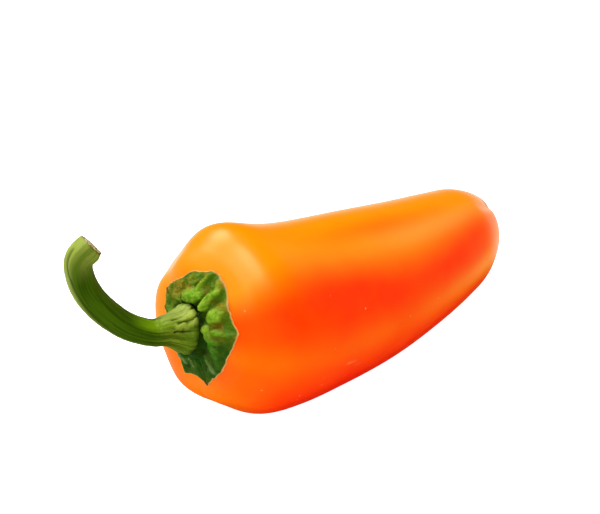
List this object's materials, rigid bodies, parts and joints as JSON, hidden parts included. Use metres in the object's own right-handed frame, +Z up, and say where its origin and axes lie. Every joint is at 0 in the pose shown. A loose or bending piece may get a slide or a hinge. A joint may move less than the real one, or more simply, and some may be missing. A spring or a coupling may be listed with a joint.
{
  "type": "chilli pepper",
  "caption": "Ripe orange chilli pepper lying on its side, blunt and tapering, with a green toothed calyx and a hooked green stem.",
  "frame": {"origin": "under the middle of the whole pepper's box, on the surface it lies on", "axes": "+X along the pod from its stem to its blossom end, +Z up"},
  "size_m": [0.109, 0.0408, 0.0514],
  "materials": {
    "skin": "ripe orange pepper skin, waxy and glossy",
    "calyx": "wrinkled green leaf tissue, satin",
    "stem": "ribbed green stalk, satin, with a pale dry cut end"
  },
  "bodies": {
    "root": {"pod": "skin", "calyx": "calyx", "stem": "stem"}
  },
  "joints": []
}
